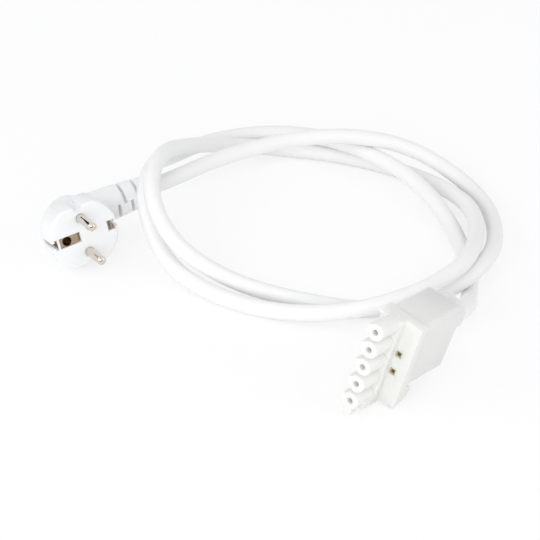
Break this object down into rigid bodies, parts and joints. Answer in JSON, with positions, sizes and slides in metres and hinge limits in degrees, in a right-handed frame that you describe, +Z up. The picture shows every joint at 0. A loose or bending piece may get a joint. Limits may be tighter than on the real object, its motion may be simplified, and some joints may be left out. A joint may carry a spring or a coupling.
{
  "type": "power cord",
  "caption": "White mains lead lying in loose turns, with a moulded right-angle earthed plug at one end and a keyed block connector with a row of round sockets at the other.",
  "frame": {"origin": "on the floor, under the middle of the box around plug and connector", "axes": "+Z up, +X from the plug's side to the connector's side, +Y away from the open side of the turns"},
  "size_m": [0.2421, 0.2733, 0.0512],
  "materials": {
    "pin_nickel": "polished nickel plate on brass",
    "earth_spring": "bare rolled spring brass",
    "bridge_resin": "moulded hard resin",
    "plug_pvc": "satin moulded soft PVC",
    "cord_pvc": "satin extruded soft PVC",
    "core_brown": "extruded PVC insulation",
    "core_blue": "extruded PVC insulation",
    "core_earth": "extruded PVC insulation, green and yellow",
    "sleeve_tin": "tinned turned brass",
    "gilt_contact": "gilt pressed contact",
    "block_nylon": "moulded polyamide",
    "hood_nylon": "moulded polyamide"
  },
  "bodies": {
    "root": {"live_pin": "pin_nickel", "neutral_pin": "pin_nickel", "plug_bridge": "bridge_resin", "earth_strip": "earth_spring", "earth_socket": "earth_spring", "plug_live_core": "core_brown", "plug_neutral_core": "core_blue", "plug_earth_core": "core_earth", "plug_body": "plug_pvc", "cord": "cord_pvc", "slot_contact_1": "gilt_contact", "slot_contact_2": "gilt_contact", "connector_block": "block_nylon", "connector_hood": "hood_nylon", "connector_live_core": "core_brown", "connector_neutral_core": "core_blue", "connector_earth_core": "core_earth", "tube_contact_1": "sleeve_tin", "tube_contact_2": "sleeve_tin", "tube_contact_3": "sleeve_tin", "tube_contact_4": "sleeve_tin", "tube_contact_5": "sleeve_tin"}
  },
  "joints": []
}
